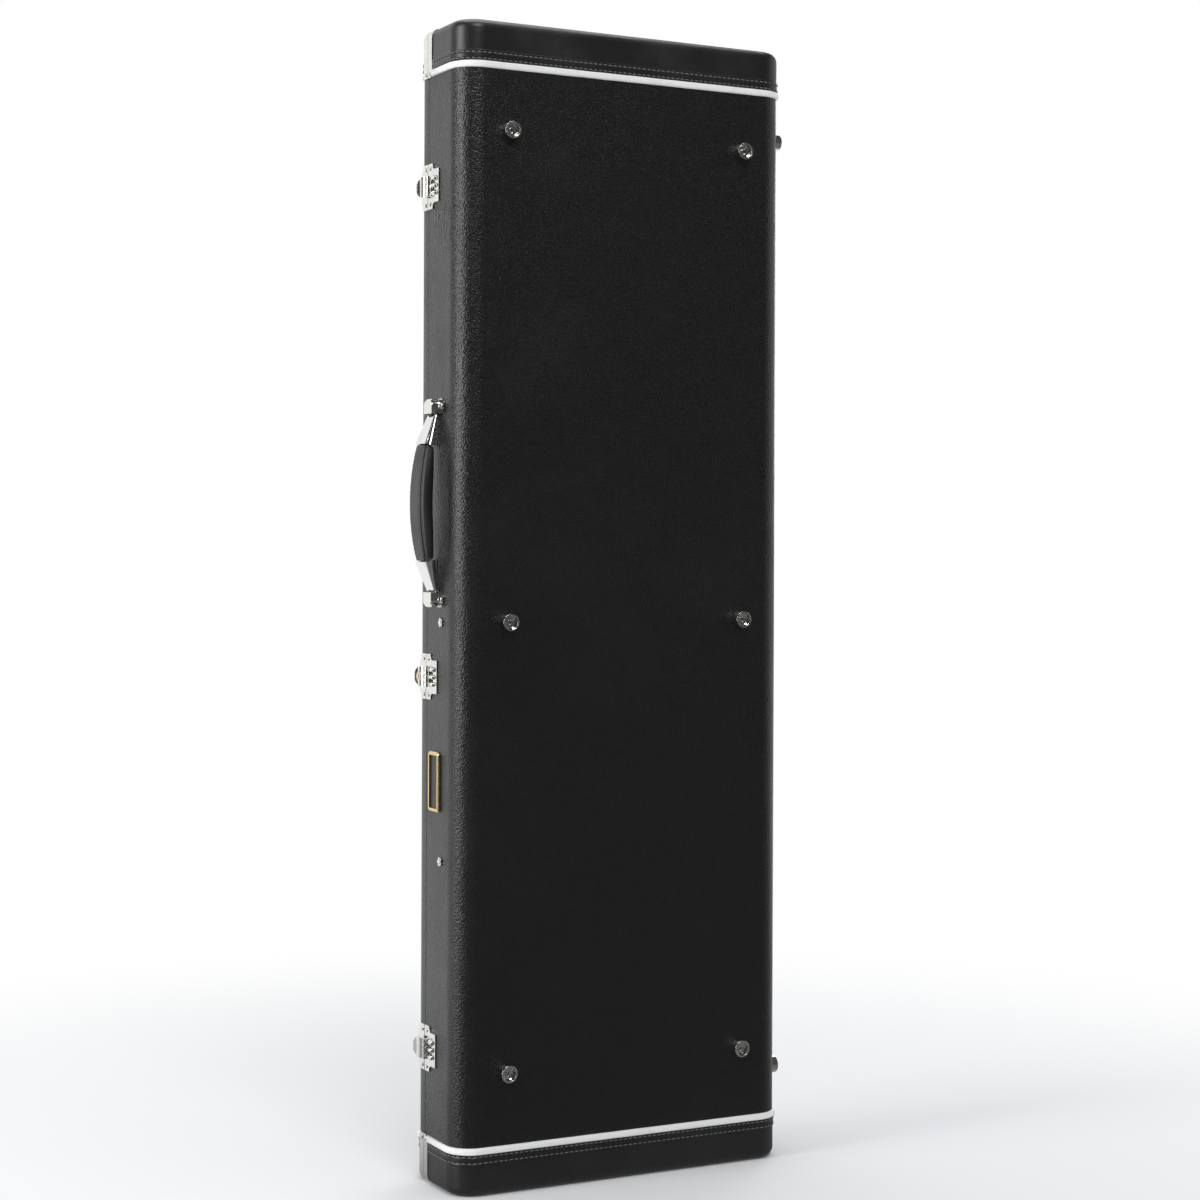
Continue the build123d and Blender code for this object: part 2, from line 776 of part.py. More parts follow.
# flap: barrels, a strap with a bead, a dome over the seam and a claw behind the striker's lip
def latch_flap(height):
    profile = latch_profile(height)
    strap_start_s = flap_axis_s + flap_barrel_radius + leaf_clearance
    outer_p = flap_underside_p + flap_thickness
    dome_p = outer_p + flap_dome_rise
    tip_corner = (flap_tip_s + flap_thickness / 2, flap_tip_p - flap_thickness)
    side_s = flap_tip_s - flap_tip_bow
    with BuildPart() as flap:
        with BuildSketch(profile.offset(-flap_half)):
            with BuildLine():
                Line((strap_start_s, flap_underside_p), (strap_start_s, outer_p))
                Line((strap_start_s, outer_p), (flap_dome_start_s, outer_p))
                ThreePointArc(
                    (flap_dome_start_s, outer_p),
                    (flap_dome_middle_s, dome_p),
                    (flap_dome_end_s, outer_p),
                )
                Line((flap_dome_end_s, outer_p), (flap_tip_s, flap_tip_p))
                Line((flap_tip_s, flap_tip_p), tip_corner)
                Polyline(
                    tip_corner,
                    (flap_dome_end_s + flap_thickness / 2, flap_underside_p),
                    (flap_dome_end_s - flap_thickness, flap_underside_p),
                )
                ThreePointArc(
                    (flap_dome_end_s - flap_thickness, flap_underside_p),
                    (flap_dome_middle_s, dome_p - flap_thickness),
                    (flap_dome_start_s + flap_thickness, flap_underside_p),
                )
                Line(
                    (flap_dome_start_s + flap_thickness, flap_underside_p),
                    (strap_start_s, flap_underside_p),
                )
            make_face()
            with Locations((flap_bead_s, outer_p)):
                Circle(flap_bead_radius)
        extrude(amount=flap_height)
        with BuildSketch(latch_face(height)):
            with Locations((flap_axis_s, 0)):
                Rectangle(side_s - flap_axis_s, flap_height, align=(Align.MIN, Align.CENTER))
            with BuildLine():
                ThreePointArc((side_s, -flap_half), (tip_corner[0], 0), (side_s, flap_half))
                Line((side_s, flap_half), (side_s, -flap_half))
            make_face()
        extrude(amount=dome_p + flap_thickness, mode=Mode.INTERSECT)
        for start, end in flap_spans:
            with BuildSketch(profile.offset(start - flap_half)):
                with Locations((flap_axis_s, flap_axis_p)):
                    Circle(flap_barrel_radius)
                with Locations((flap_axis_s, flap_underside_p)):
                    Rectangle(2 * flap_barrel_radius, flap_thickness, align=(Align.MIN, Align.MIN))
            extrude(amount=end - start)
        with BuildSketch(profile.offset(-flap_half)):
            with Locations((flap_axis_s, flap_axis_p)):
                Circle(flap_bore)
        extrude(amount=flap_height, mode=Mode.SUBTRACT)
        with BuildSketch(profile.offset(-claw_height / 2)):
            with Locations((claw_s, claw_low_p)):
                Rectangle(
                    claw_width,
                    flap_underside_p + flap_thickness / 2 - claw_low_p,
                    align=(Align.CENTER, Align.MIN),
                )
        extrude(amount=claw_height)
    return flap


latch_plate_high = latch_plate(latch_heights["high"])
write(latch_plate_high, "latch_plate_high")
latch_plate_mid = latch_plate(latch_heights["mid"])
write(latch_plate_mid, "latch_plate_mid")
latch_plate_low = latch_plate(latch_heights["low"])
write(latch_plate_low, "latch_plate_low")
latch_striker_high = latch_striker(latch_heights["high"])
write(latch_striker_high, "latch_striker_high")
latch_striker_mid = latch_striker(latch_heights["mid"])
write(latch_striker_mid, "latch_striker_mid")
latch_striker_low = latch_striker(latch_heights["low"])
write(latch_striker_low, "latch_striker_low")
latch_flap_high = latch_flap(latch_heights["high"])
write(latch_flap_high, "latch_flap_high")
latch_flap_low = latch_flap(latch_heights["low"])
write(latch_flap_low, "latch_flap_low")

# the middle flap has a hole for its lock
lock_face_p = flap_underside_p + flap_thickness + flap_dome_rise + lock_face_proud
lock_back_p = lock_face_p - lock_sleeve_length
lock_face = latch_face(latch_heights["mid"], lock_face_p)
lock_back = latch_face(latch_heights["mid"], lock_back_p)

with BuildPart() as latch_flap_mid:
    add(latch_flap(latch_heights["mid"]).part)
    with BuildSketch(lock_back):
        with Locations((flap_dome_middle_s, 0)):
            Circle(lock_sleeve_radius)
    extrude(amount=lock_sleeve_length, mode=Mode.SUBTRACT)
write(latch_flap_mid, "latch_flap_mid")

with BuildPart() as lock_barrel:
    with BuildSketch(lock_back):
        with Locations((flap_dome_middle_s, 0)):
            Circle(lock_sleeve_radius)
            Circle(lock_plug_radius + pin_clearance, mode=Mode.SUBTRACT)
    extrude(amount=lock_sleeve_length)
write(lock_barrel, "lock_barrel")

with BuildPart() as lock_plug:
    with BuildSketch(lock_back):
        with Locations((flap_dome_middle_s, 0)):
            Circle(lock_plug_radius)
    extrude(amount=lock_sleeve_length)
    with BuildSketch(lock_back):
        with Locations((flap_dome_middle_s, 0)):
            Circle(lock_plug_radius - pin_clearance)
            Rectangle(lock_cam_reach, lock_cam_width, align=(Align.MIN, Align.CENTER))
    extrude(amount=-lock_cam_thickness)
    with BuildSketch(lock_face):
        with Locations((flap_dome_middle_s, 0)):
            SlotOverall(keyway_length, keyway_width, rotation=90)
    extrude(amount=-keyway_depth, mode=Mode.SUBTRACT)
write(lock_plug, "lock_plug")

with BuildPart() as latch_pins:
    for height in latch_heights.values():
        with BuildSketch(latch_profile(height).offset(-flap_half)):
            with Locations((flap_axis_s, flap_axis_p)):
                Circle(flap_pin_radius)
        extrude(amount=flap_height)
write(latch_pins, "latch_pins")


guard_rivet_heights = (guard_rivet_z, case_length - guard_rivet_z)


# corner guards: thin metal over the leather beside the seam, wrapped round the case's corner
def corner_guards(half, outer, width):
    rim_y, outer_y = half
    away = 1 if outer_y > rim_y else -1
    rim_s = rim_y - front_y
    with BuildPart() as guards:
        add(guard_strip(half, outer, width, guard_thickness))
        with BuildSketch(latch_face(0, -guard_reach / 2)):
            for across in (-guard_length / 2, guard_length / 2 - case_length):
                with Locations((rim_s + away * width / 2, across)):
                    Rectangle(width, guard_length - guard_floor_gap)
            inner = vertices().filter_by(lambda corner: abs(corner.X - rim_s) > width / 2)
            ends = inner.sort_by(Axis.Y)[1:3]
            fillet(ends, guard_corner)
        extrude(amount=guard_reach, mode=Mode.INTERSECT)
        points = [(base_depth + away * guard_rivet_from_seam, -height) for height in guard_rivet_heights]
        rivet_holes(latch_face(0, vinyl_drop), points, guard_thickness)
    return guards


corner_guards_base = corner_guards(base_half, base_outer, guard_base_width)
write(corner_guards_base, "corner_guards_base")
corner_guards_lid = corner_guards(lid_half, lid_outer, guard_lid_width)
write(corner_guards_lid, "corner_guards_lid")

# rivets of each half: through latch plates, hinge leaves and corner guards into the wood
latch_rivet_points = [
    (sign * latch_rivet_from_middle - height) for height in latch_heights.values() for sign in (-1, 1)
]


def half_rivets(latch_s, away):
    guard_s = base_depth + away * guard_rivet_from_seam
    with BuildPart() as group:
        points = [(latch_s, across) for across in latch_rivet_points]
        add(rivets(latch_face(0, plate_thickness), points, plate_thickness + rivet_grip))
        points = [(away * hinge_rivet_reach, height) for height in hinge_rivet_heights]
        add(rivets(hinge_face.offset(hinge_leaf_thickness), points, hinge_leaf_thickness + rivet_grip))
        points = [(guard_s, -height) for height in guard_rivet_heights]
        add(rivets(latch_face(0, vinyl_drop + guard_thickness), points, guard_thickness + rivet_grip))
    return group


base_rivets = half_rivets(latch_rivet_base_s, -1)
write(base_rivets, "base_rivets")
lid_rivets = half_rivets(latch_rivet_lid_s, 1)
write(lid_rivets, "lid_rivets")


# carrying handle: x runs along the case from the handle's middle, y is the height p
handle_side = Plane(
    origin=(latch_x + vinyl_drop, front_y + handle_s, handle_z), x_dir=(0, 0, 1), z_dir=(0, -1, 0)
)
handle_plan = Plane(origin=handle_side.origin, x_dir=(0, 0, 1), z_dir=(-1, 0, 0))

# spring-steel strap inside the grip, with a slot at each end
with BuildPart() as handle_strap:
    with BuildSketch(handle_side) as strap_side:
        with BuildLine() as strap_path:
            ThreePointArc(
                (-grip_half_length, grip_end_p), (0, grip_middle_p), (grip_half_length, grip_end_p)
            )
            for sign in (-1, 1):
                Line((sign * grip_half_length, grip_end_p), (sign * strap_bend_z, strap_end_p))
                Line((sign * strap_bend_z, strap_end_p), (sign * strap_end_z, strap_end_p))
        trace(line_width=strap_thickness)
    extrude(amount=strap_width / 2, both=True)
    with BuildSketch(handle_plan):
        with Locations((-stud_z, 0), (stud_z, 0)):
            SlotOverall(strap_slot_length, 2 * (stud_radius + stud_clearance))
    extrude(amount=grip_end_p, mode=Mode.SUBTRACT)
write(handle_strap, "handle_strap")

# leather grip, an even section swept along an arc
with BuildPart() as handle_grip:
    with BuildLine(handle_side) as grip_path:
        ThreePointArc(
            (-grip_half_length, grip_end_p), (0, grip_middle_p), (grip_half_length, grip_end_p)
        )
    with BuildSketch(Plane(origin=grip_path.line @ 0, x_dir=(0, 1, 0), z_dir=grip_path.line % 0)):
        RectangleRounded(grip_width, grip_thickness, grip_corner)
    sweep(path=grip_path.line)
    add(handle_strap.part, mode=Mode.SUBTRACT)
write(handle_grip, "handle_grip")


# chrome ferrules taper from the grip's end down to the brackets
def ferrule(path_end, outwards):
    tip_z = handle_z + (ferrule_tip_z if outwards.Z > 0 else -ferrule_tip_z)
    tip = Vector(latch_x + vinyl_drop - ferrule_tip_p, front_y + handle_s, tip_z)
    with BuildPart() as taper:
        with BuildSketch(Plane(origin=path_end, x_dir=(0, 1, 0), z_dir=outwards)):
            RectangleRounded(
                grip_width + ferrule_lip, grip_thickness + ferrule_lip, grip_corner + ferrule_lip / 2
            )
        with BuildSketch(Plane(origin=tip, x_dir=(0, 1, 0), z_dir=(0, 0, 1 if outwards.Z > 0 else -1))):
            RectangleRounded(ferrule_tip_width, ferrule_tip_thickness, ferrule_tip_corner)
        loft()
        add(handle_strap.part, mode=Mode.SUBTRACT)
    return taper.part


with BuildPart() as handle_ferrules:
    add(ferrule(grip_path.line @ 0, (grip_path.line % 0) * -1))
    add(ferrule(grip_path.line @ 1, grip_path.line % 1))
write(handle_ferrules, "handle_ferrules")


# bracket: two screwed ears and a hood that the strap's end runs into
def handle_bracket(sign):
    hood_middle = sign * (hood_mouth_z + hood_end_z) / 2
    hood_length = hood_end_z - hood_mouth_z
    with BuildPart() as bracket:
        with BuildSketch(handle_plan):
            with Locations((hood_middle, 0)):
                Rectangle(hood_length, hood_width)
            ends = vertices().sort_by(lambda corner: sign * corner.X)[-2:]
            fillet(ends, hood_end_radius)
        extrude(amount=hood_height)
        top_edges = bracket.faces().sort_by(Axis.X)[0].edges()
        round_edges = top_edges.filter_by(
            lambda edge: abs(abs(edge.center().Z - handle_z) - hood_mouth_z) > hood_wall
        )
        chamfer(round_edges, hood_round)
        with BuildSketch(handle_plan):
            with Locations((hood_middle, 0)):
                RectangleRounded(hood_length, ear_width, ear_radius)
        extrude(amount=ear_thickness)
        with BuildSketch(handle_plan.offset(ear_thickness)):
            with Locations((hood_middle - sign * hood_wall, 0)):
                Rectangle(hood_length, hood_width - 2 * hood_wall)
            ends = vertices().sort_by(lambda corner: sign * corner.X)[-2:]
            fillet(ends, hood_end_radius - hood_wall)
        extrude(amount=hood_height - hood_wall - ear_thickness, mode=Mode.SUBTRACT)
        with BuildSketch(handle_plan):
            with Locations(*[(hood_middle, side * ear_screw_from_middle) for side in (-1, 1)]):
                Circle(screw_shank_radius + screw_hole_clearance)
            with Locations((sign * stud_z, 0)):
                Circle(stud_radius + screw_hole_clearance)
        extrude(amount=ear_thickness, mode=Mode.SUBTRACT)
    return bracket


handle_bracket_high = handle_bracket(1)
write(handle_bracket_high, "handle_bracket_high")
handle_bracket_low = handle_bracket(-1)
write(handle_bracket_low, "handle_bracket_low")

with BuildPart() as handle_studs:
    with BuildSketch(handle_plan.offset(-rivet_grip)):
        with Locations((-stud_z, 0), (stud_z, 0)):
            Circle(stud_radius)
    extrude(amount=rivet_grip + hood_height - hood_wall)
write(handle_studs, "handle_studs")


# round-head screws, their shanks in the wood
def screws(plane, points, buried):
    with BuildPart() as group:
        with BuildSketch(plane):
            with Locations(*points):
                Circle(screw_head_radius)
        extrude(amount=screw_head_height)
        tops = group.faces().group_by(Axis(plane.origin, plane.z_dir))[-1]
        chamfer(tops.edges(), screw_chamfer)
        with BuildSketch(plane.offset(-buried)):
            with Locations(*points):
                Circle(screw_shank_radius)
        extrude(amount=buried)
    return group.part


handle_screw_z = (hood_mouth_z + hood_end_z) / 2
handle_screw_points = [
    (sign * handle_screw_z, side * ear_screw_from_middle) for sign in (-1, 1) for side in (-1, 1)
]
with BuildPart() as handle_screws:
    add(screws(handle_plan.offset(ear_thickness), handle_screw_points, ear_thickness + rivet_grip))
write(handle_screws, "handle_screws")


# metal cup feet with a dished middle
def foot(plane):
    with BuildPart() as cup:
        with BuildSketch(Plane.XZ):
            with BuildLine():
                Polyline(
                    (screw_shank_radius + screw_hole_clearance, 0),
                    (foot_radius, 0),
                    (foot_rim_radius, foot_height),
                    (foot_dish_radius, foot_height),
                    (foot_dish_floor_radius, foot_floor),
                    (screw_shank_radius + screw_hole_clearance, foot_floor),
                    close=True,
                )
            make_face()
        revolve(axis=Axis.Z)
    return plane.location * cup.part


panel_plane = Plane(origin=(0, front_y + vinyl_drop, 0), x_dir=(1, 0, 0), z_dir=(0, -1, 0))
spine_plane = Plane(origin=(hinge_x - vinyl_drop, front_y, 0), x_dir=(0, 1, 0), z_dir=(1, 0, 0))
panel_foot_points = [(side * panel_foot_from_middle, z) for side in (-1, 1) for z in panel_foot_heights]
spine_foot_points = [(spine_foot_s, z) for z in spine_foot_heights]


def feet(plane, points):
    with BuildPart() as group:
        for across, height in points:
            origin = plane.from_local_coords(Vector(across, height, 0))
            add(foot(Plane(origin=origin, x_dir=plane.x_dir, z_dir=plane.z_dir)))
    return group


panel_feet = feet(panel_plane, panel_foot_points)
write(panel_feet, "panel_feet")
spine_feet = feet(spine_plane, spine_foot_points)
write(spine_feet, "spine_feet")

with BuildPart() as foot_screws:
    add(screws(panel_plane.offset(foot_floor), panel_foot_points, foot_floor + rivet_grip))
    add(screws(spine_plane.offset(foot_floor), spine_foot_points, foot_floor + rivet_grip))
write(foot_screws, "foot_screws")


# flower-headed nails through both narrow walls into the neck rests
def rosette(plane):
    with BuildPart() as flower:
        with BuildSketch(plane):
            with PolarLocations(rosette_petal_circle, rosette_petals):
                Circle(rosette_petal_radius)
            Circle(rosette_petal_circle)
        extrude(amount=rosette_thickness)
        with BuildSketch(plane):
            Circle(rosette_core_radius)
        extrude(amount=rosette_core_thickness)
        with BuildSketch(plane.offset(-rivet_grip)):
            Circle(rivet_shank_radius)
        extrude(amount=rivet_grip)
    return flower.part


rosette_y = front_y + rosette_s
with BuildPart() as rosettes:
    for height in (neck_rest_low_z, neck_rest_high_z):
        for side, face_x in ((-1, latch_x + vinyl_drop), (1, hinge_x - vinyl_drop)):
            add(rosette(Plane(origin=(face_x, rosette_y, height), x_dir=(0, 1, 0), z_dir=(side, 0, 0))))
write(rosettes, "rosettes")

# bare nameplate: a raised frame round a thin dark inset
with BuildPart() as nameplate_frame:
    with BuildSketch(latch_face(nameplate_z)):
        with Locations((nameplate_s, 0)):
            RectangleRounded(nameplate_width, nameplate_height, nameplate_corner)
    extrude(amount=nameplate_thickness)
    chamfer(nameplate_frame.faces().sort_by(Axis.X)[0].edges(), nameplate_bevel)
    with BuildSketch(latch_face(nameplate_z)):
        with Locations((nameplate_s, 0)):
            Rectangle(nameplate_width - 2 * nameplate_border, nameplate_height - 2 * nameplate_border)
    extrude(amount=nameplate_thickness, mode=Mode.SUBTRACT)
write(nameplate_frame, "nameplate_frame")

with BuildPart() as nameplate_inset:
    with BuildSketch(latch_face(nameplate_z)):
        with Locations((nameplate_s, 0)):
            Rectangle(nameplate_width - 2 * nameplate_border, nameplate_height - 2 * nameplate_border)
    extrude(amount=nameplate_inset_thickness)
write(nameplate_inset, "nameplate_inset")
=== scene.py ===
import json
import math
import random

import bmesh
import bpy
from mathutils import Matrix, Vector, noise
from mathutils.bvhtree import BVHTree


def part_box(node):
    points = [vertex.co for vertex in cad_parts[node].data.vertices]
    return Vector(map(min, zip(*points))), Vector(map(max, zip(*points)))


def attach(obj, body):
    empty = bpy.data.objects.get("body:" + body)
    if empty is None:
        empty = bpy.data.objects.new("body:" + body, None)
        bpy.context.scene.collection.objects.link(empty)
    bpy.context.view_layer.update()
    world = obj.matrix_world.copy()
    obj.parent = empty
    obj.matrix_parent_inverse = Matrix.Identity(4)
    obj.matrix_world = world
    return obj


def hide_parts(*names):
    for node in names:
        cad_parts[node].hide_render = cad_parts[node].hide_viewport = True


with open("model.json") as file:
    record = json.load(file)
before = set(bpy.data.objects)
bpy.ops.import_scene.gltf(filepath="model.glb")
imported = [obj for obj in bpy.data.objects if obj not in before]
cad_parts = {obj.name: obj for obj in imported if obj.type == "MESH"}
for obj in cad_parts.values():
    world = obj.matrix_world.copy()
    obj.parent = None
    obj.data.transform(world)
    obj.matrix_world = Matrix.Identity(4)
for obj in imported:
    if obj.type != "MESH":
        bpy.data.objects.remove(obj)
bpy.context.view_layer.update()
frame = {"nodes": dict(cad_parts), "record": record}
random.seed(7)

# sizes of the closed case, in metres
case_length = 1.220
case_width = 0.394
base_depth = 0.082
lid_depth = 0.035
edge_radius = 0.028
rim_gap = 0.00025
front_y = -(base_depth + lid_depth) / 2
seam_y = front_y + base_depth
back_y = seam_y + lid_depth

# each half's rim and its outer face
halves = {"base": (seam_y - rim_gap, front_y), "lid": (seam_y + rim_gap, back_y)}

# leather caps: their length, and where their two sewn rows run, counted back from the hem
cap_length = 0.044
stitch_rows = (0.0020, 0.0085)
stitch_pitch = 0.0058
stitch_length = 0.0042
stitch_thickness = 0.0013
stitch_lean = 0.08

# creases that the top latch pulls into the vinyl of the latch side
crease_height = 1.008
crease_y = -0.012

# handle grip: a bowed bar, with a strip sewn on along its outer side
grip_middle = Vector((0.0, 0.0005, 0.7185))
grip_half = 0.060
grip_line_x = -0.2149
grip_bow = 0.0070
grip_taper = 0.16
grip_strip = 0.0125
grip_stitch_count = 24
grip_stitch_share = 0.92
grip_stitch_length = 0.0032
grip_stitch_thickness = 0.0008

# the grip's side seam, the lobe below it and the crease beside the strip
seam_rise, seam_width, seam_depth = 0.0052, 0.0009, 0.0024
lobe_rise, lobe_width, lobe_height = -0.0010, 0.0045, 0.0014
crease_width, crease_depth = 0.0008, 0.0009

# edges: how far metal, coverings and lined wood are rounded
metal_edge = 0.00025
covering_edge = 0.0004
lining_edge = 0.0006
compartment_edge = 0.0012

# padding: how much of its reach it is drawn in before it swells, and the most that it then moves
drawn_share = 0.8
swollen_share = 1.5
cloth_steps = 20

# cross recesses in the screw heads, drawn as black crosses of painted shade: their length, and the other
# sizes as shares of it
foot_slot = 0.0034
handle_slot = 0.0026
slot_width, slot_depth, slot_bevel = 0.24, 0.16, 0.05

# the Mix node's sockets for colours
mix_first, mix_second, mix_result = 6, 7, 2

# floor: its paint beside the case, how far off it turns white, and how dim metal sees it in front
floor_reach = 6.0
floor_paint = 0.84
floor_fade = (0.45, 1.5)
floor_in_front = 0.15
floor_front = (-0.2, 0.8)

# room: how bright metal sees it in front and at the right, where that turns, and the even light
room_in_front = 0.07
room_back = (0.45, 0.85)
room_at_right = 0.7
room_right = (0.72, 0.98)
room_strength = 0.46
lamp_aim = Vector((0.0, 0.0, 0.6))


class Socket:
    """Wraps what a node gives, so that sums and products of it add Math nodes."""

    def __init__(self, shading, link):
        self.shading, self.link = shading, link

    def math(self, operation, *values):
        return self.shading.node("ShaderNodeMath", {"operation": operation}, dict(enumerate(values)))

    def __add__(self, other):
        return self.math("ADD", self, other)

    __radd__ = __add__

    def __mul__(self, other):
        return self.math("MULTIPLY", self, other)

    __rmul__ = __mul__

    def __sub__(self, other):
        return self.math("SUBTRACT", self, other)

    def __rsub__(self, other):
        return self.math("SUBTRACT", other, self)

    def __abs__(self):
        return self.math("ABSOLUTE", self)

    def smaller(self, other):
        return self.math("MINIMUM", self, other)

    def larger(self, other):
        return self.math("MAXIMUM", self, other)

    def over(self, low, high):
        """0 below low, 1 above high, smooth between."""
        settings = {"interpolation_type": "SMOOTHSTEP", "clamp": True}
        sockets = {"Value": self, "From Min": low, "From Max": high}
        return self.shading.node("ShaderNodeMapRange", settings, sockets)

    def near(self, middle, inner, outer):
        """1 within inner of the middle, 0 beyond outer, smooth between."""
        return 1.0 - abs(self - middle).over(inner, outer)


class Shading:
    """The nodes of a material or of the room, added one at a time."""

    def __init__(self, owner):
        owner.use_nodes = True
        self.owner, self.tree = owner, owner.node_tree
        self.tree.nodes.clear()

    def node(self, kind, settings=None, sockets=None, output=0):
        """Adds a node: its settings first, then the values or links of its sockets."""
        made = self.tree.nodes.new(kind)
        for key, value in (settings or {}).items():
            setattr(made, key, value)
        for key, value in (sockets or {}).items():
            self.put(made.inputs[key], value)
        return Socket(self, made.outputs[output] if len(made.outputs) else None)

    def put(self, socket, value):
        if isinstance(value, Socket):
            self.tree.links.new(value.link, socket)
        else:
            socket.default_value = value

    def place(self):
        """Object coordinates, in metres."""
        return self.node("ShaderNodeTexCoord", output="Object")

    def split(self, where):
        """A place's three coordinates."""
        first = self.node("ShaderNodeSeparateXYZ", sockets={"Vector": where})
        return [Socket(self, output) for output in first.link.node.outputs]

    def stretched(self, where, scale, turn):
        """Coordinates with a scale of their own along each axis."""
        return self.node("ShaderNodeMapping", sockets={"Vector": where, "Scale": scale, "Rotation": turn})

    def noise(self, where, scale, detail=3.0, rough=0.5):
        """Soft clouds, of which about scale fit into a metre."""
        sockets = {"Vector": where, "Scale": scale, "Detail": detail, "Roughness": rough}
        return self.node("ShaderNodeTexNoise", sockets=sockets, output="Fac")

    def grains(self, where, scale):
        """Rounded grains, of which scale fit into a metre: low in their middles."""
        sockets = {"Vector": where, "Scale": scale, "Smoothness": 0.6}
        return self.node("ShaderNodeTexVoronoi", {"feature": "SMOOTH_F1"}, sockets, "Distance")

    def mix(self, share, first, second):
        sockets = {"Factor": share, mix_first: (*first, 1), mix_second: (*second, 1)}
        return self.node("ShaderNodeMix", {"data_type": "RGBA"}, sockets, mix_result)

    def ray(self, kind):
        """1 for a ray of this kind, such as Camera or Glossy, and 0 for others."""
        return self.node("ShaderNodeLightPath", output="Is " + kind + " Ray")

    def shown(self):
        """1 where the camera sees a thing straight, in a reflection or through glass."""
        return self.ray("Camera").larger(self.ray("Glossy")).larger(self.ray("Transmission"))


class Finish(Shading):
    """A material of the case, with one Principled shader."""

    def __init__(self, name, color, roughness, metallic=0.0, fixed=None):
        super().__init__(bpy.data.materials.new(name))
        sockets = {"Base Color": (*color, 1), "Roughness": roughness, "Metallic": metallic, **(fixed or {})}
        shader = self.node("ShaderNodeBsdfPrincipled", sockets=sockets)
        self.node("ShaderNodeOutputMaterial", sockets={"Surface": shader})
        self.inputs = shader.link.node.inputs
        self.owner.diffuse_color = (*color, 1)

    def color(self, value):
        self.put(self.inputs["Base Color"], value)

    def rough(self, value):
        self.put(self.inputs["Roughness"], value)

    def bump(self, height, distance, strength=1.0):
        sockets = {"Height": height, "Distance": distance, "Strength": strength}
        self.put(self.inputs["Normal"], self.node("ShaderNodeBump", sockets=sockets))


def vinyl_finish():
    """Pebbled black covering: grains of about two millimetres, fine creases between, painted light and
    shade on the grains.
    """
    made = Finish("vinyl", (0.006, 0.006, 0.0064), 0.38, fixed={"Specular IOR Level": 0.8})
    where = made.place()
    across, depth, height = made.split(where)
    grains = made.grains(where, 560.0)
    creases = made.noise(where, 380.0, 4.0, 0.6)
    sags = made.noise(where, 11.0)
    worn = made.noise(where, 9.0, 4.0, 0.6).over(0.45, 0.75)
    made.rough(0.30 + 0.10 * worn + 0.10 * creases)
    # painted highlight on the grains' middles and painted shade in the pores between them
    made.color(made.mix(grains.over(0.2, 0.6), (0.0085, 0.0085, 0.009), (0.0025, 0.0025, 0.0027)))
    pulled = made.noise(made.stretched(where, (40.0, 260.0, 60.0), (0.5, 0.0, 0.0)), 1.0, 2.0)
    near_latch = height.near(crease_height, 0.012, 0.030) * depth.near(crease_y, 0.012, 0.026)
    latch_side = (0.0 - across).over(case_width / 2 - 0.007, case_width / 2 - 0.002)
    ridges = pulled.over(0.42, 0.62) * near_latch * latch_side
    made.bump(0.0 - grains * 0.9 + creases * 0.5 + sags * 3.0 + ridges * 3.0, 0.00050)
    return made.owner


def leather_finish(name="leather", tone=0.010, rough=0.34, sewn=False):
    """Smooth black leather with fine pores and a soft unevenness, grooved along its sewn rows."""
    made = Finish(name, (tone, tone * 0.95, tone * 0.93), rough, fixed={"Specular IOR Level": 0.75})
    where = made.place()
    pores = made.grains(where, 1400.0)
    folds = made.noise(where, 150.0, 5.0, 0.62)
    slack = made.noise(where, 26.0)
    worn = made.noise(where, 14.0, 4.0, 0.6).over(0.4, 0.75)
    made.rough(rough - 0.04 + 0.14 * worn + 0.10 * folds)
    made.color(made.mix(worn, (tone, tone * 0.96, tone * 0.95), (tone * 1.6, tone * 1.5, tone * 1.46)))
    height = folds * 0.8 - pores * 0.35 + slack * 4.5
    if sewn:
        along = made.split(where)[2]
        from_end = along.smaller(case_length - along)
        for row in stitch_rows:
            height = height + abs(from_end - (cap_length - row)).over(0.0002, 0.0016) * 3.0
    made.bump(height, 0.00024, 0.85)
    return made.owner


def piping_finish():
    """White plastic piping, a little soiled in places."""
    made = Finish("piping", (0.86, 0.85, 0.81), 0.42, fixed={"Specular IOR Level": 0.45})
    where = made.place()
    fine = made.noise(where, 900.0, 3.0, 0.6)
    soiled = made.noise(where, 38.0, 4.0, 0.65).over(0.5, 0.85)
    made.color(made.mix(soiled, (0.92, 0.915, 0.89), (0.80, 0.785, 0.74)))
    made.rough(0.40 + 0.15 * soiled)
    made.bump(fine, 0.00012, 0.6)
    return made.owner


def plush_finish(name="plush", tone=(0.045, 0.045, 0.05)):
    """Short dense pile that lies in soft patches."""
    fixed = {"Sheen Weight": 0.6, "Sheen Roughness": 0.4, "Specular IOR Level": 0.1}
    made = Finish(name, tone, 0.95, fixed=fixed)
    where = made.place()
    tufts = made.noise(where, 1500.0, 3.0, 0.7)
    lay = made.noise(where, 32.0, 4.0, 0.6)
    light = tuple(v * 1.7 for v in tone)
    made.color(made.mix((tufts * 0.5 + lay * 0.8).over(0.4, 0.95), tone, light))
    made.bump(tufts + lay * 0.8, 0.0006, 0.8)
    return made.owner


def wood_finish():
    """Bare ply of the shells."""
    made = Finish("wood", (0.55, 0.40, 0.25), 0.6)
    grain = made.noise(made.place(), 22.0, 6.0, 0.7)
    made.color(made.mix(grain, (0.60, 0.44, 0.28), (0.42, 0.29, 0.17)))
    made.bump(grain, 0.0002, 0.5)
    return made.owner


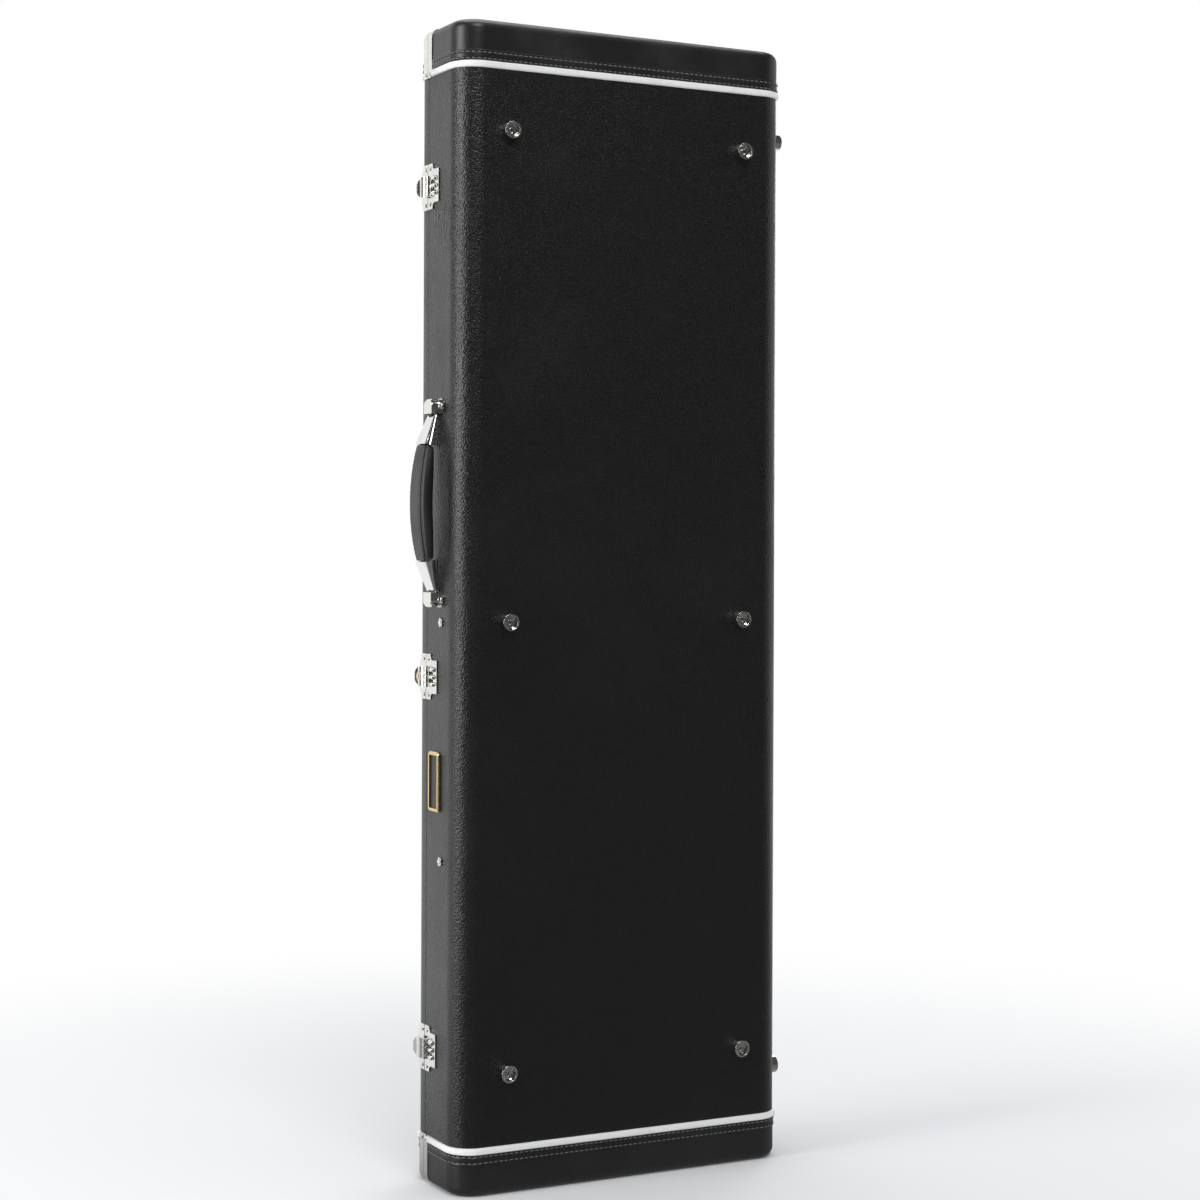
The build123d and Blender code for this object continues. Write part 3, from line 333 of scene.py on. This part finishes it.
def metal_finish(name, color, rough, dull, dent):
    """Plated metal with faint handling marks and duller patches."""
    made = Finish(name, color, rough, 1.0)
    where = made.place()
    marks = made.noise(where, 260.0, 4.0, 0.6)
    patches = made.noise(where, 60.0, 5.0, 0.65).over(0.45, 0.8)
    made.rough(rough + dull * patches + 0.05 * marks)
    made.color(made.mix(patches, color, tuple(v * 0.82 for v in color)))
    made.bump(marks, dent, 0.5)
    return made.owner


def enamel_and_recess_shade_finish():
    """Black enamel of the bare nameplate, also used as painted shade in the cross recesses of the screws.
    """
    made = Finish("black_enamel_and_recess_shade", (0.012, 0.012, 0.013), 0.3)
    where = made.place()
    made.rough(0.25 + 0.2 * made.noise(where, 160.0, 4.0, 0.6))
    made.bump(made.noise(where, 500.0, 2.0), 0.00003, 0.4)
    return made.owner


def thread_finish(name, tone):
    made = Finish(name, (tone, tone, tone * 1.03), 0.5)
    made.bump(made.noise(made.place(), 2600.0, 2.0), 0.0002, 0.6)
    return made.owner


finishes = {
    "vinyl": vinyl_finish(),
    "leather": leather_finish(sewn=True),
    "plain_leather": leather_finish("plain_leather"),
    "grip": leather_finish("grip_leather", 0.012, 0.42),
    "piping": piping_finish(),
    "plush": plush_finish(),
    "foam": plush_finish("foam_plush", (0.05, 0.05, 0.056)),
    "wood": wood_finish(),
    "nickel": metal_finish("nickel", (0.80, 0.79, 0.76), 0.07, 0.08, 0.000012),
    "chrome": metal_finish("chrome", (0.82, 0.82, 0.82), 0.04, 0.05, 0.000008),
    "steel": metal_finish("steel", (0.60, 0.60, 0.61), 0.18, 0.12, 0.00002),
    "brass": metal_finish("brass", (0.78, 0.60, 0.30), 0.16, 0.12, 0.00002),
    # black enamel, also painted shade in the screws' cross recesses
    "black": enamel_and_recess_shade_finish(),
    # the caps' thread: its own dark tone lifted to pale grey, a painted highlight
    "thread_painted_highlight": thread_finish("thread_painted_highlight", 0.17),
    "dark_thread": thread_finish("dark_thread", 0.02),
}

node_body = {node: body for body, nodes in frame["record"]["behaviour"]["bodies"].items() for node in nodes}
node_slot = {s["node"]: s["material_slot"] for s in frame["record"]["subparts"]}


# making pieces

def piece(name, bm, finish, node, smooth):
    """A new piece that moves with a node's body; edges sharper than smooth degrees stay sharp."""
    mesh = bpy.data.meshes.new(name)
    bm.to_mesh(mesh)
    bm.free()
    made = bpy.data.objects.new(name, mesh)
    bpy.context.scene.collection.objects.link(made)
    mesh.materials.append(finishes[finish])
    mesh.polygons.foreach_set("use_smooth", [True] * len(mesh.polygons))
    mesh.set_sharp_from_angle(angle=math.radians(smooth))
    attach(made, node_body[node])
    return made


def modifier(made, kind, **settings):
    added = made.modifiers.new(kind.lower(), kind)
    for key, value in settings.items():
        setattr(added, key, value)
    return added


def eased_edges(made, width, segments, degrees):
    modifier(made, "BEVEL", width=width, segments=segments, limit_method="ANGLE",
             angle_limit=math.radians(degrees), harden_normals=False, use_clamp_overlap=True)


def merged(node):
    """A copy of a node's mesh with its loose triangles joined."""
    bm = bmesh.new()
    bm.from_mesh(frame["nodes"][node].data)
    bmesh.ops.remove_doubles(bm, verts=bm.verts, dist=0.000004)
    return bm


def whole_faces(bm):
    """Joins the triangles of each flat face."""
    bmesh.ops.dissolve_limit(
        bm, angle_limit=math.radians(1.0), verts=bm.verts, edges=bm.edges, use_dissolve_boundaries=False
    )


def cross_cuts(bm, step):
    """Cuts a mesh into slices across the case's width, so that its long runs can bend."""
    across = Vector((1, 0, 0))
    reach = [v.co.dot(across) for v in bm.verts]
    low, high = min(reach), max(reach)
    count = int((high - low) / step)
    for index in range(1, count + 1):
        place = low + (high - low) * index / (count + 1)
        geom = bm.verts[:] + bm.edges[:] + bm.faces[:]
        bmesh.ops.bisect_plane(bm, geom=geom, dist=1e-7, plane_co=across * place, plane_no=across)


def swell(bm, height, size, seed):
    """Moves each vertex along its normal by a smooth random height."""
    bm.normal_update()
    shift = Vector((seed, seed, seed))
    moves = [(v, v.normal * noise.noise(v.co / size + shift) * height) for v in bm.verts]
    for v, move in moves:
        v.co += move


def metal_piece(node, finish):
    """A metal node again, with its edges eased so that they catch the light."""
    bm = merged(node)
    whole_faces(bm)
    degrees = 38.0
    made = piece(node + "_eased", bm, finish, node, degrees)
    eased_edges(made, metal_edge, 2, degrees)
    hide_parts(node)


def wrapped_piece(node, finish, width, segments=2):
    """A covering or a small soft piece again, with folded edges and evenly shaded flats."""
    bm = merged(node)
    whole_faces(bm)
    degrees = 40.0
    made = piece(node + "_wrapped", bm, finish, node, degrees)
    eased_edges(made, width, segments, degrees)
    modifier(made, "WEIGHTED_NORMAL", keep_sharp=True, weight=60)
    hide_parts(node)


def piping_piece(node):
    """A run of piping again, a little uneven along its way."""
    bm = merged(node)
    cross_cuts(bm, step=0.010)
    swell(bm, height=0.00016, size=0.02, seed=len(node))
    made = piece(node + "_soft", bm, "piping", node, 35.0)
    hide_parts(node)


def settle(made):
    """Keeps the shape that the piece's modifiers give now and removes them."""
    bpy.context.view_layer.update()
    graph = bpy.context.evaluated_depsgraph_get()
    shaped = bpy.data.meshes.new_from_object(made.evaluated_get(graph))
    made.modifiers.clear()
    made.data = shaped


def blown_up(made, pressure):
    """Swells a closed piece with a cloth simulation."""
    cloth = modifier(made, "CLOTH")
    cloth.settings.use_pressure = True
    cloth.settings.uniform_pressure_force = pressure
    cloth.settings.effector_weights.gravity = 0.0
    for step in range(1, cloth_steps + 1):
        bpy.context.scene.frame_set(step)
    settle(made)
    bpy.context.scene.frame_set(1)


def held_back(made, before, reach, low, high):
    """Limits how far each point has moved, and keeps it inside the space of its node."""
    for vertex, start in zip(made.data.vertices, before):
        move = vertex.co - start
        if move.length > reach:
            move *= reach / move.length
        vertex.co = [min(max(v, lo), hi) for v, lo, hi in zip(start + move, low, high)]


def padded_piece(node, finish, voxel, reach, pressure=4.0, shape=None):
    """A stuffed piece: remeshed, drawn in, blown up and held to its node's space."""
    low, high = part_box(node)
    made = piece(node + "_padded", merged(node), finish, node, 80.0)
    modifier(made, "REMESH", mode="VOXEL", voxel_size=voxel, use_smooth_shade=True)
    modifier(made, "SMOOTH", factor=0.5, iterations=4)
    settle(made)
    starts = [vertex.co - vertex.normal * reach * drawn_share for vertex in made.data.vertices]
    for vertex, start in zip(made.data.vertices, starts):
        vertex.co = start
    blown_up(made, pressure)
    held_back(made, starts, reach * swollen_share, low, high)
    if shape:
        for vertex in made.data.vertices:
            vertex.co = shape(vertex.co.copy())
    made.data.polygons.foreach_set("use_smooth", [True] * len(made.data.polygons))
    modifier(made, "SUBSURF", levels=1, render_levels=1)
    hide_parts(node)
    return made


# shells, coverings and metal

for node, shown in frame["nodes"].items():
    shown.data.materials.clear()
    shown.data.materials.append(finishes[node_slot[node]])

rigid_metal = (
    "latch_plate_high latch_plate_mid latch_plate_low latch_striker_high latch_striker_mid "
    "latch_striker_low latch_flap_high latch_flap_mid latch_flap_low corner_guards_base corner_guards_lid "
    "base_rivets lid_rivets handle_ferrules handle_bracket_high handle_bracket_low handle_screws "
    "panel_feet spine_feet foot_screws rosettes nameplate_frame lock_barrel base_hinge_leaves "
    "lid_hinge_leaves compartment_hinge_fixed compartment_hinge_moving nameplate_inset lock_plug"
).split()
for node in rigid_metal:
    metal_piece(node, "chrome" if node == "handle_ferrules" else node_slot[node])

for node in ("base_cover", "lid_cover"):
    wrapped_piece(node, "vinyl", covering_edge)
for node in ("base_cap_low", "base_cap_high", "lid_cap_low", "lid_cap_high"):
    wrapped_piece(node, "leather", covering_edge)
for node in ("base_piping", "lid_piping"):
    piping_piece(node)
for node in ("base_lining", "lid_lining", "base_valance"):
    wrapped_piece(node, "plush", lining_edge)
for node in ("compartment_wall", "compartment_batten", "compartment_lid"):
    wrapped_piece(node, "plush", compartment_edge, 3)
wrapped_piece("compartment_tab", "plain_leather", covering_edge)


# padding inside: the mesh's fineness, how far it is drawn in and swells, and how tight it is

pads = {
    "body_cradle": (0.006, 0.0020, 0.8),
    "body_cushion": (0.004, 0.0008, 0.6),
    "lid_pad": (0.005, 0.0020, 0.7),
    "headstock_pad": (0.004, 0.0015, 0.8),
    "neck_rest_low": (0.0025, 0.0004, 0.9),
    "neck_rest_high": (0.0025, 0.0004, 0.9),
    "neck_pads": (0.0010, 0.0002, 0.5),
}
for node, (voxel, reach, fill) in pads.items():
    padded_piece(node, "foam", voxel, reach)


# handle

def bell(value, middle, width):
    return math.exp(-((value - middle) / width) ** 2)


def ramp(value, low, span):
    return max(0.0, min(1.0, (value - low) / span))


def grip_form(point):
    """Shapes the swollen grip: narrow ends, a seam and a lobe on both sides, a fuller underside."""
    z = (point.z - grip_middle.z) / grip_half
    to_end = min(1.0, abs(z))
    line = grip_line_x + grip_bow * z * z
    rise = line - point.x
    width = point.y - grip_middle.y
    side = 1.0 if width > 0 else -1.0
    edge = ramp(abs(width), 0.010, 0.004)
    seam = bell(rise, seam_rise, seam_width) * edge
    lobe = bell(rise, lobe_rise, lobe_width) * (1.0 - to_end ** 4) * edge
    crease = bell(abs(width), grip_strip, crease_width) * ramp(rise, 0.005, 0.0015)
    narrow = 1.0 - grip_taper * to_end ** 4
    underside = 1.28 - 0.78 * to_end ** 3
    point.y = grip_middle.y + side * (abs(width) * narrow - seam * seam_depth + lobe * lobe_height)
    point.x = line - (rise * underside if rise < 0 else rise - crease * crease_depth)
    return point


grip = padded_piece("handle_grip", "grip", 0.0013, 0.0008, 3.0, grip_form)


# sewing and small fastenings

def around(half, step):
    """Even places along one half's section, from side to side, each with its outward direction."""
    rim, outer = halves[half]
    turn = -1.0 if outer < rim else 1.0
    side = abs(outer - rim) - edge_radius
    bend = math.pi / 2 * edge_radius
    total = 2 * (side + bend) + case_width - 2 * edge_radius
    count = int(total / step)
    for index in range(count):
        way = (index + 0.5) * total / count
        mirrored = way > total / 2
        short = total - way if mirrored else way
        angle = min(max((short - side) / edge_radius, 0.0), math.pi / 2)
        x = -case_width / 2 + edge_radius * (1 - math.cos(angle)) + max(short - side - bend, 0.0)
        y = rim + turn * (min(short, side) + edge_radius * math.sin(angle))
        out = Vector((-math.cos(angle), turn * math.sin(angle), 0))
        if mirrored:
            x, out.x = -x, -out.x
        yield Vector((x, y, 0)), out


def add_stitch(bm, place, out, along, length, thickness):
    """One stitch: a short round strand with its ends drawn into the leather."""
    made = bmesh.ops.create_uvsphere(bm, u_segments=8, v_segments=5, radius=0.5)
    across = out.cross(along).normalized()
    turn = Matrix((across * thickness, out * thickness, along * length)).transposed().to_4x4()
    bmesh.ops.transform(bm, matrix=Matrix.Translation(place) @ turn, verts=made["verts"])


def cap_stitches(half, end):
    """Two rows of stitches around a leather cap, beside its hem."""
    cap = half + "_cap_" + end
    shell = merged(cap)
    leather = BVHTree.FromBMesh(shell)
    shell.free()
    bm = bmesh.new()
    for row in stitch_rows:
        from_end = cap_length - row
        height = from_end if end == "low" else case_length - from_end
        for place, out in around(half, stitch_pitch):
            place.z = height
            hit = leather.ray_cast(place + out * 0.01, -out, 0.03)[0]
            if hit is None:
                continue
            along = out.cross(Vector((0, 0, 1))).normalized()
            lean = Vector((0, 0, random.uniform(-stitch_lean, stitch_lean)))
            along = (along + lean).normalized()
            add_stitch(bm, hit + out * 0.0001, out, along, stitch_length, stitch_thickness)
    # the caps' stitches are pale grey: a painted highlight on dark thread
    piece(cap + "_stitches", bm, "thread_painted_highlight", cap, 80.0)


for half in ("base", "lid"):
    for end in ("low", "high"):
        cap_stitches(half, end)


def grip_stitches():
    """A row of stitches along both edges of the grip's outer strip."""
    leather = BVHTree.FromObject(grip, bpy.context.evaluated_depsgraph_get())
    bm = bmesh.new()
    outside_x = -0.24
    for side in (-1.0, 1.0):
        for index in range(grip_stitch_count):
            z = (index + 0.5) / grip_stitch_count * (2 * grip_stitch_share) - grip_stitch_share
            y = grip_middle.y + side * grip_strip * (1.0 - grip_taper * z ** 4)
            start = Vector((outside_x, y, grip_middle.z + z * grip_half))
            hit = leather.ray_cast(start, Vector((1, 0, 0)))[0]
            slope = math.atan(grip_bow * 2 * z / grip_half)
            along = Vector((math.sin(slope), 0, math.cos(slope)))
            add_stitch(bm, hit, Vector((-1, 0, 0)), along, grip_stitch_length, grip_stitch_thickness)
    piece("grip_stitches", bm, "dark_thread", "handle_grip", 80.0)


grip_stitches()


def islands(bm):
    """The separate shells of a mesh, each as its list of vertices, always in the same order."""
    bm.verts.index_update()
    seen = set()
    for first in bm.verts:
        shell, front = [], [first]
        while front:
            vertex = front.pop()
            if vertex.index not in seen:
                seen.add(vertex.index)
                shell.append(vertex)
                front.extend(edge.other_vert(vertex) for edge in vertex.link_edges)
        if shell:
            yield shell


def painted_shade_crosses(node, facing, size):
    """Painted shade for the cross recess in the head of each screw of a node: a black cross at the top of
    the head.
    """
    heads = merged(node)
    bm = bmesh.new()
    for shell in islands(heads):
        points = [vertex.co for vertex in shell]
        out = facing(sum(points, Vector()) / len(points))
        top = max(point.dot(out) for point in points)
        middle = Vector([(min(values) + max(values)) / 2 for values in zip(*points)])
        middle += out * (top - middle.dot(out))
        turn = out.to_track_quat("Z", "Y").to_matrix().to_4x4()
        tilt = random.uniform(0, math.pi)
        for quarter in (0.0, math.pi / 2):
            bar = bmesh.ops.create_cube(bm, size=1.0)["verts"]
            bmesh.ops.scale(bm, vec=(size, size * slot_width, size * slot_depth), verts=bar)
            spin = Matrix.Rotation(tilt + quarter, 4, "Z")
            bmesh.ops.transform(bm, matrix=Matrix.Translation(middle) @ turn @ spin, verts=bar)
            edges = list(dict.fromkeys(edge for vertex in bar for edge in vertex.link_edges))
            bmesh.ops.bevel(bm, geom=edges, offset=size * slot_bevel, affect="EDGES",
                            segments=1, profile=0.5, material=-1)
    heads.free()
    # black enamel as painted shade for the recesses
    piece(node + "_recess_shade", bm, "black", node, 30.0)


def foot_facing(place):
    """The feet of the hinge side face right, those of the broad face forward."""
    return Vector((1, 0, 0)) if place.x > case_width / 2 - edge_radius else Vector((0, -1, 0))


def handle_facing(place):
    return Vector((-1, 0, 0))


painted_shade_crosses("foot_screws", foot_facing, foot_slot)
painted_shade_crosses("handle_screws", handle_facing, handle_slot)


# stage, light and camera

def floor_finish():
    """Pale paint beside the case that shows white further off, and dim in reflections in front."""
    made = Shading(bpy.data.materials.new("floor_paint"))
    where = made.place()
    back = made.split(where)[1]
    front = made.ray("Glossy") * (1.0 - back.over(*floor_front))
    away = made.node("ShaderNodeVectorMath", {"operation": "LENGTH"}, {0: where}, "Value")
    paint = made.node("ShaderNodeBsdfDiffuse", sockets={"Color": (floor_paint,) * 3 + (1,)})
    color = made.mix(front, (1.0, 1.0, 1.0), (floor_in_front,) * 3)
    glow = made.node("ShaderNodeEmission", sockets={"Color": color})
    share = (made.shown() * away.over(*floor_fade)).larger(front)
    surface = made.node("ShaderNodeMixShader", sockets={0: share, 1: paint, 2: glow})
    made.node("ShaderNodeOutputMaterial", sockets={"Surface": surface})
    return made.owner


def floor():
    """The flat floor under the case."""
    bm = bmesh.new()
    bmesh.ops.create_grid(bm, x_segments=1, y_segments=1, size=floor_reach)
    mesh = bpy.data.meshes.new("floor")
    bm.to_mesh(mesh)
    bm.free()
    made = bpy.data.objects.new("floor", mesh)
    mesh.materials.append(floor_finish())
    bpy.context.scene.collection.objects.link(made)


def lamp(name, place, size, power):
    """A flat lamp that looks at the middle of the case."""
    data = bpy.data.lights.new(name, "AREA")
    data.shape = "RECTANGLE"
    data.size, data.size_y = size
    data.energy = power
    made = bpy.data.objects.new(name, data)
    bpy.context.scene.collection.objects.link(made)
    made.location = place
    made.rotation_euler = (lamp_aim - Vector(place)).to_track_quat("-Z", "Y").to_euler()


def room_light():
    """Soft even light. The camera sees it white, and plated metal sees it dim in front of the case."""
    world = bpy.data.worlds.new("room")
    bpy.context.scene.world = world
    made = Shading(world)
    right, back = made.split(made.node("ShaderNodeTexCoord", output="Generated"))[:2]
    behind = room_in_front + (1.0 - room_in_front) * back.over(*room_back)
    beside = room_at_right * right.over(*room_right)
    level = behind.larger(beside).larger(made.ray("Camera"))
    color = made.mix(level, (0.0, 0.0, 0.0), (1.0, 1.0, 1.0))
    seen = made.node("ShaderNodeBackground", sockets={"Color": color})
    light = {"Color": (0.9, 0.95, 1.0, 1), "Strength": room_strength}
    lit = made.node("ShaderNodeBackground", sockets=light)
    surface = made.node("ShaderNodeMixShader", sockets={0: made.shown(), 1: lit, 2: seen})
    made.node("ShaderNodeOutputWorld", sockets={"Surface": surface})


def set_camera():
    """Stands in front of the case, off to its latch side, level, with the view shifted a little."""
    data = bpy.data.cameras.new("camera")
    made = bpy.data.objects.new("camera", data)
    bpy.context.scene.collection.objects.link(made)
    data.lens, data.sensor_width = 71.82, 36.0
    data.shift_y = -0.0478
    data.clip_start, data.clip_end = 0.05, 60.0
    place = Vector((-1.2123, -2.3064, 0.6777))
    yaw, lean = math.radians(-27.68), 0.004
    upright = Matrix.Rotation(math.pi / 2, 4, "X")
    turn = Matrix.Rotation(yaw, 4, "Z") @ upright @ Matrix.Rotation(lean, 4, "Z")
    made.matrix_world = Matrix.Translation(place) @ turn
    bpy.context.scene.camera = made


floor()
lamp("key_lamp", (-2.7, -0.15, 1.2), (0.9, 2.8), 44)
lamp("fill_lamp", (-0.5, -2.6, 3.3), (1.4, 1.4), 34)
lamp("top_lamp", (0.2, 0.4, 3.4), (2.2, 2.2), 40)
lamp("back_lamp", (2.4, 2.2, 1.6), (1.2, 2.0), 22)
room_light()
set_camera()
bpy.context.scene.view_settings.view_transform = "Standard"
